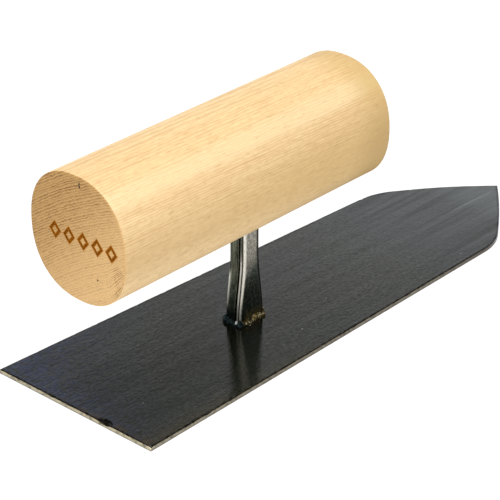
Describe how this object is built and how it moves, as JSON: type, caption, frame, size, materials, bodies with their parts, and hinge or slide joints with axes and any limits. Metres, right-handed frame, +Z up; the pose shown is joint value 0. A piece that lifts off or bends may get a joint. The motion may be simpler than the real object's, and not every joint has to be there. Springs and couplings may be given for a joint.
{
  "type": "pointed finishing trowel",
  "caption": "Plasterer's trowel with a tapered pointed steel blade, a folded sheet-steel neck welded to it and a straight wooden handle, for smoothing and edging mortar.",
  "frame": {"origin": "on the sole, under the middle of the blade's length, on its centre line", "axes": "+X from the rear edge to the tip, +Y to the left of the blade, +Z up through the neck to the handle; symmetric about the XZ plane apart from the neck's seam"},
  "size_m": [0.21, 0.066, 0.0788],
  "materials": {
    "blade": "blue-black oxide from heat treatment, satin, with bright ground edges",
    "neck": "satin grey steel sheet, darkened by heat near the weld",
    "weld_bead": "rough weld metal with brown and blue heat tint",
    "handle": "pale straight-grained softwood, sanded, with a light clear coat"
  },
  "bodies": {
    "root": {"blade": "blade", "neck": "neck", "weld_bead": "weld_bead", "handle": "handle"}
  },
  "joints": []
}
